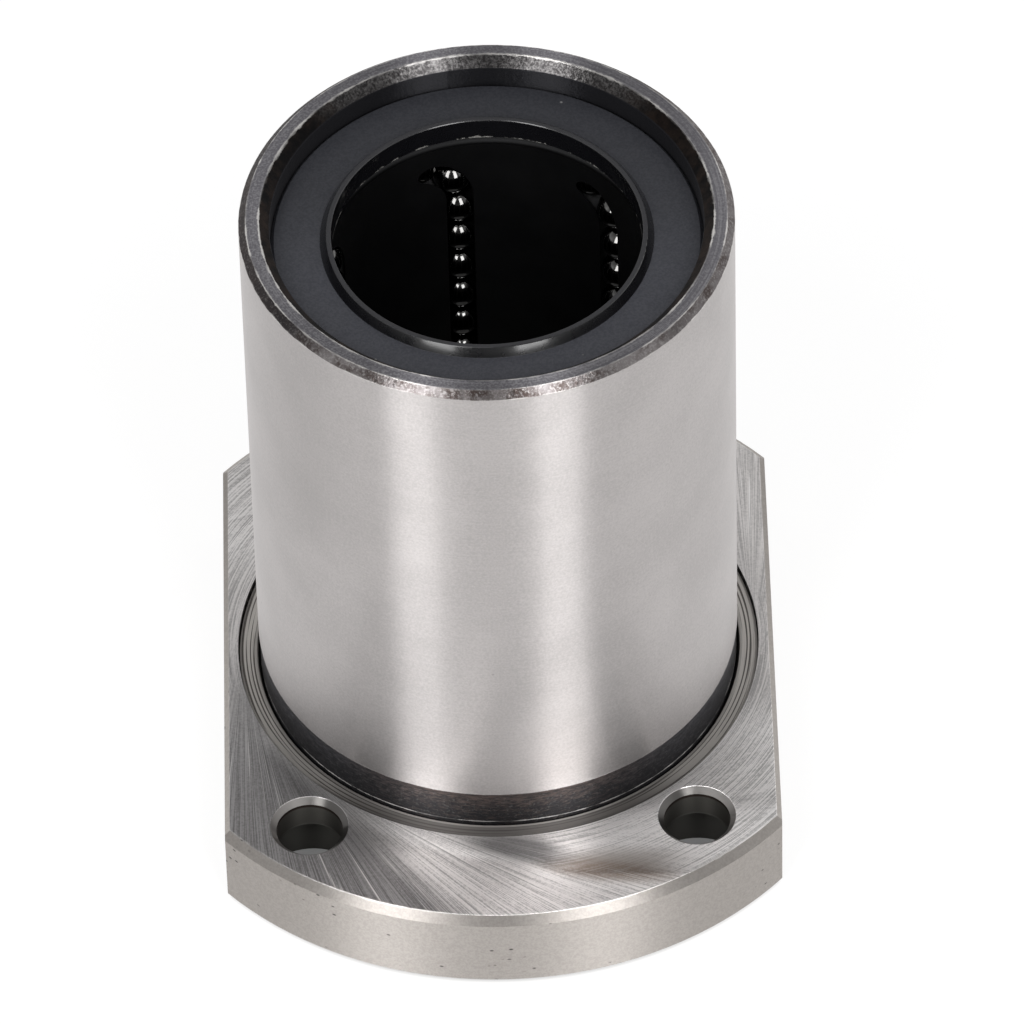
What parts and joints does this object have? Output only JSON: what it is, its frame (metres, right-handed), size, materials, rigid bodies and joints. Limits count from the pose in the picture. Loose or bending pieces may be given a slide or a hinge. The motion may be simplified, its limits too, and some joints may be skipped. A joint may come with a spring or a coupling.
{
  "type": "flanged linear bearing",
  "caption": "Flanged linear ball bearing: ground steel sleeve with a flatted mounting flange, rubber end seals and recirculating balls that carry a sliding shaft.",
  "frame": {"origin": "centre of the flange's end face, on the shaft axis, where the bearing stands", "axes": "+Z along the shaft axis towards the free end of the sleeve, +X and -X face the flange's flats"},
  "size_m": [0.046, 0.062, 0.059],
  "materials": {
    "sleeve_steel": "satin ground steel with a dark unground neck and rim",
    "flange_steel": "ground faces with swirl marks, matte turned sides",
    "retainer_resin": "black moulded resin, oiled",
    "seal_rubber": "matte dark grey rubber",
    "spring_steel": "dark spring steel",
    "ball_steel": "polished bearing steel"
  },
  "bodies": {
    "housing": {"outer_sleeve": "sleeve_steel", "mounting_flange": "flange_steel", "ball_retainer": "retainer_resin", "upper_seal": "seal_rubber", "lower_seal": "seal_rubber", "upper_retaining_ring": "spring_steel", "lower_retaining_ring": "spring_steel"},
    "loaded_row_1": {"loaded_balls_1": "ball_steel"},
    "return_row_1": {"return_balls_1": "ball_steel"},
    "upper_turn_1": {"upper_turn_balls_1": "ball_steel"},
    "lower_turn_1": {"lower_turn_balls_1": "ball_steel"},
    "loaded_row_2": {"loaded_balls_2": "ball_steel"},
    "return_row_2": {"return_balls_2": "ball_steel"},
    "upper_turn_2": {"upper_turn_balls_2": "ball_steel"},
    "lower_turn_2": {"lower_turn_balls_2": "ball_steel"},
    "loaded_row_3": {"loaded_balls_3": "ball_steel"},
    "return_row_3": {"return_balls_3": "ball_steel"},
    "upper_turn_3": {"upper_turn_balls_3": "ball_steel"},
    "lower_turn_3": {"lower_turn_balls_3": "ball_steel"},
    "loaded_row_4": {"loaded_balls_4": "ball_steel"},
    "return_row_4": {"return_balls_4": "ball_steel"},
    "upper_turn_4": {"upper_turn_balls_4": "ball_steel"},
    "lower_turn_4": {"lower_turn_balls_4": "ball_steel"},
    "loaded_row_5": {"loaded_balls_5": "ball_steel"},
    "return_row_5": {"return_balls_5": "ball_steel"},
    "upper_turn_5": {"upper_turn_balls_5": "ball_steel"},
    "lower_turn_5": {"lower_turn_balls_5": "ball_steel"},
    "loaded_row_6": {"loaded_balls_6": "ball_steel"},
    "return_row_6": {"return_balls_6": "ball_steel"},
    "upper_turn_6": {"upper_turn_balls_6": "ball_steel"},
    "lower_turn_6": {"lower_turn_balls_6": "ball_steel"}
  },
  "joints": [
    {"name": "loaded_row_1_roll", "type": "slide", "parent": "housing", "child": "loaded_row_1", "axis": [0, 0, 1], "range_m": [-0.00169, 0.00169]},
    {"name": "return_row_1_roll", "type": "slide", "parent": "housing", "child": "return_row_1", "axis": [0, 0, 1], "range_m": [-0.0017, 0.0017]},
    {"name": "upper_turn_1_roll", "type": "hinge", "parent": "housing", "child": "upper_turn_1", "pos_m": [-0.00552, 0.01338, 0.04815], "axis": [-0.165, 0.9863, 0], "range_deg": [-30.1, 30.1]},
    {"name": "lower_turn_1_roll", "type": "hinge", "parent": "housing", "child": "lower_turn_1", "pos_m": [-0.00552, 0.01338, 0.01086], "axis": [-0.165, 0.9863, 0], "range_deg": [-30.1, 30.1]},
    {"name": "loaded_row_2_roll", "type": "slide", "parent": "housing", "child": "loaded_row_2", "axis": [0, 0, 1], "range_m": [-0.00169, 0.00169]},
    {"name": "return_row_2_roll", "type": "slide", "parent": "housing", "child": "return_row_2", "axis": [0, 0, 1], "range_m": [-0.0017, 0.0017]},
    {"name": "upper_turn_2_roll", "type": "hinge", "parent": "housing", "child": "upper_turn_2", "pos_m": [-0.01435, 0.00191, 0.04815], "axis": [-0.9367, 0.3502, 0], "range_deg": [-30.1, 30.1]},
    {"name": "lower_turn_2_roll", "type": "hinge", "parent": "housing", "child": "lower_turn_2", "pos_m": [-0.01435, 0.00191, 0.01086], "axis": [-0.9367, 0.3502, 0], "range_deg": [-30.1, 30.1]},
    {"name": "loaded_row_3_roll", "type": "slide", "parent": "housing", "child": "loaded_row_3", "axis": [0, 0, 1], "range_m": [-0.00169, 0.00169]},
    {"name": "return_row_3_roll", "type": "slide", "parent": "housing", "child": "return_row_3", "axis": [0, 0, 1], "range_m": [-0.0017, 0.0017]},
    {"name": "upper_turn_3_roll", "type": "hinge", "parent": "housing", "child": "upper_turn_3", "pos_m": [-0.00883, -0.01147, 0.04815], "axis": [-0.7716, -0.6361, 0], "range_deg": [-30.1, 30.1]},
    {"name": "lower_turn_3_roll", "type": "hinge", "parent": "housing", "child": "lower_turn_3", "pos_m": [-0.00883, -0.01147, 0.01086], "axis": [-0.7716, -0.6361, 0], "range_deg": [-30.1, 30.1]},
    {"name": "loaded_row_4_roll", "type": "slide", "parent": "housing", "child": "loaded_row_4", "axis": [0, 0, 1], "range_m": [-0.00169, 0.00169]},
    {"name": "return_row_4_roll", "type": "slide", "parent": "housing", "child": "return_row_4", "axis": [0, 0, 1], "range_m": [-0.0017, 0.0017]},
    {"name": "upper_turn_4_roll", "type": "hinge", "parent": "housing", "child": "upper_turn_4", "pos_m": [0.00552, -0.01338, 0.04815], "axis": [0.165, -0.9863, 0], "range_deg": [-30.1, 30.1]},
    {"name": "lower_turn_4_roll", "type": "hinge", "parent": "housing", "child": "lower_turn_4", "pos_m": [0.00552, -0.01338, 0.01086], "axis": [0.165, -0.9863, 0], "range_deg": [-30.1, 30.1]},
    {"name": "loaded_row_5_roll", "type": "slide", "parent": "housing", "child": "loaded_row_5", "axis": [0, 0, 1], "range_m": [-0.00169, 0.00169]},
    {"name": "return_row_5_roll", "type": "slide", "parent": "housing", "child": "return_row_5", "axis": [0, 0, 1], "range_m": [-0.0017, 0.0017]},
    {"name": "upper_turn_5_roll", "type": "hinge", "parent": "housing", "child": "upper_turn_5", "pos_m": [0.01435, -0.00191, 0.04815], "axis": [0.9367, -0.3502, 0], "range_deg": [-30.1, 30.1]},
    {"name": "lower_turn_5_roll", "type": "hinge", "parent": "housing", "child": "lower_turn_5", "pos_m": [0.01435, -0.00191, 0.01086], "axis": [0.9367, -0.3502, 0], "range_deg": [-30.1, 30.1]},
    {"name": "loaded_row_6_roll", "type": "slide", "parent": "housing", "child": "loaded_row_6", "axis": [0, 0, 1], "range_m": [-0.00169, 0.00169]},
    {"name": "return_row_6_roll", "type": "slide", "parent": "housing", "child": "return_row_6", "axis": [0, 0, 1], "range_m": [-0.0017, 0.0017]},
    {"name": "upper_turn_6_roll", "type": "hinge", "parent": "housing", "child": "upper_turn_6", "pos_m": [0.00883, 0.01147, 0.04815], "axis": [0.7716, 0.6361, 0], "range_deg": [-30.1, 30.1]},
    {"name": "lower_turn_6_roll", "type": "hinge", "parent": "housing", "child": "lower_turn_6", "pos_m": [0.00883, 0.01147, 0.01086], "axis": [0.7716, 0.6361, 0], "range_deg": [-30.1, 30.1]}
  ],
  "couplings": [
    {"joint": "return_row_1_roll", "follows": "loaded_row_1_roll", "ratio": -1},
    {"joint": "upper_turn_1_roll", "follows": "loaded_row_1_roll", "rad_per_m": -308.91},
    {"joint": "lower_turn_1_roll", "follows": "loaded_row_1_roll", "rad_per_m": -308.91},
    {"joint": "return_row_2_roll", "follows": "loaded_row_2_roll", "ratio": -1},
    {"joint": "upper_turn_2_roll", "follows": "loaded_row_2_roll", "rad_per_m": -308.91},
    {"joint": "lower_turn_2_roll", "follows": "loaded_row_2_roll", "rad_per_m": -308.91},
    {"joint": "return_row_3_roll", "follows": "loaded_row_3_roll", "ratio": -1},
    {"joint": "upper_turn_3_roll", "follows": "loaded_row_3_roll", "rad_per_m": -308.91},
    {"joint": "lower_turn_3_roll", "follows": "loaded_row_3_roll", "rad_per_m": -308.91},
    {"joint": "return_row_4_roll", "follows": "loaded_row_4_roll", "ratio": -1},
    {"joint": "upper_turn_4_roll", "follows": "loaded_row_4_roll", "rad_per_m": -308.91},
    {"joint": "lower_turn_4_roll", "follows": "loaded_row_4_roll", "rad_per_m": -308.91},
    {"joint": "return_row_5_roll", "follows": "loaded_row_5_roll", "ratio": -1},
    {"joint": "upper_turn_5_roll", "follows": "loaded_row_5_roll", "rad_per_m": -308.91},
    {"joint": "lower_turn_5_roll", "follows": "loaded_row_5_roll", "rad_per_m": -308.91},
    {"joint": "return_row_6_roll", "follows": "loaded_row_6_roll", "ratio": -1},
    {"joint": "upper_turn_6_roll", "follows": "loaded_row_6_roll", "rad_per_m": -308.91},
    {"joint": "lower_turn_6_roll", "follows": "loaded_row_6_roll", "rad_per_m": -308.91}
  ]
}
